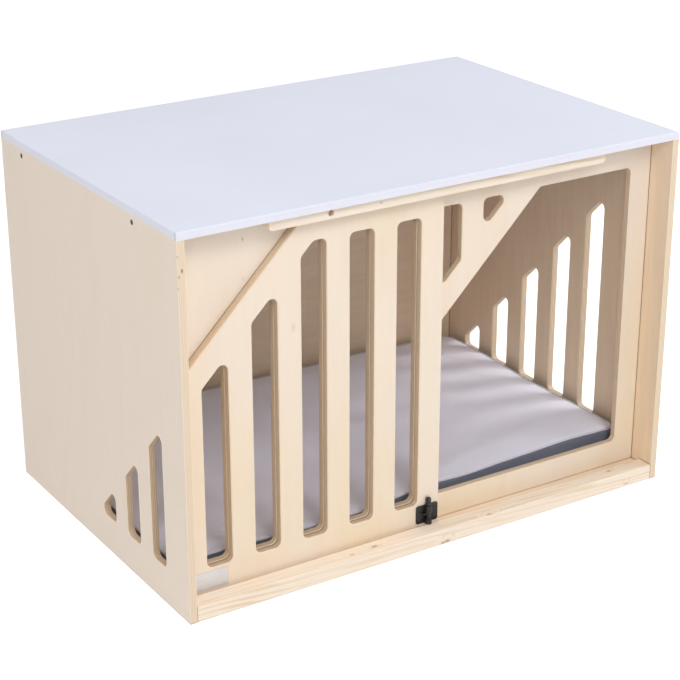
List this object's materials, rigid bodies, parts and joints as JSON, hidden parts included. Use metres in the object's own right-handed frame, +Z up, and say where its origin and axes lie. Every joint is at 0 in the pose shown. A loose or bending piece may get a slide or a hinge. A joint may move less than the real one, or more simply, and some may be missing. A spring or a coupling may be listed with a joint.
{
  "type": "indoor dog crate",
  "caption": "Plywood indoor dog crate with slotted panels, a white top, a front door that slides sideways and locks with an upright bolt, and a cushion on the floor.",
  "frame": {"origin": "middle of the bottom of the crate's box, on the ground", "axes": "+Z up, the front with the door faces -Y, +X to the right seen from the front"},
  "size_m": [0.9, 0.6, 0.61],
  "materials": {
    "white_board": "smooth satin white facing",
    "birch_plywood": "sanded birch veneer with bare layered edges",
    "pine": "planed bare pine",
    "dowel_wood": "turned bare beech",
    "zinc_steel": "bright zinc plated",
    "black_steel": "black satin coating",
    "cushion_fabric": "smooth woven cover, pale top and slate side band",
    "foam": "open cell foam"
  },
  "bodies": {
    "crate": {"top_board": "white_board", "left_side_panel": "birch_plywood", "right_side_panel": "birch_plywood", "back_panel": "birch_plywood", "floor_panel": "birch_plywood", "front_panel": "birch_plywood", "bottom_lath": "pine", "top_lath": "pine", "left_top_cleat": "pine", "right_top_cleat": "pine", "left_floor_batten": "pine", "middle_floor_batten": "pine", "right_floor_batten": "pine", "side_screws": "zinc_steel", "top_board_screws": "zinc_steel", "floor_screws": "zinc_steel", "floor_dowels": "dowel_wood", "front_panel_dowels": "dowel_wood", "back_panel_dowels": "dowel_wood", "top_lath_dowels": "dowel_wood", "corner_brackets": "zinc_steel", "bracket_screws": "zinc_steel", "cushion_cover": "cushion_fabric", "cushion_core": "foam"},
    "door": {"sliding_door": "birch_plywood", "latch_plate": "black_steel", "latch_screws": "black_steel"},
    "bolt": {"latch_bolt": "black_steel", "latch_knob": "black_steel"}
  },
  "joints": [
    {"name": "door_slide", "type": "slide", "parent": "crate", "child": "door", "axis": [1, 0, 0], "range_m": [0, 0.4169]},
    {"name": "bolt_slide", "type": "slide", "parent": "door", "child": "bolt", "axis": [0, 0, 1], "range_m": [-0.0065, 0]}
  ]
}
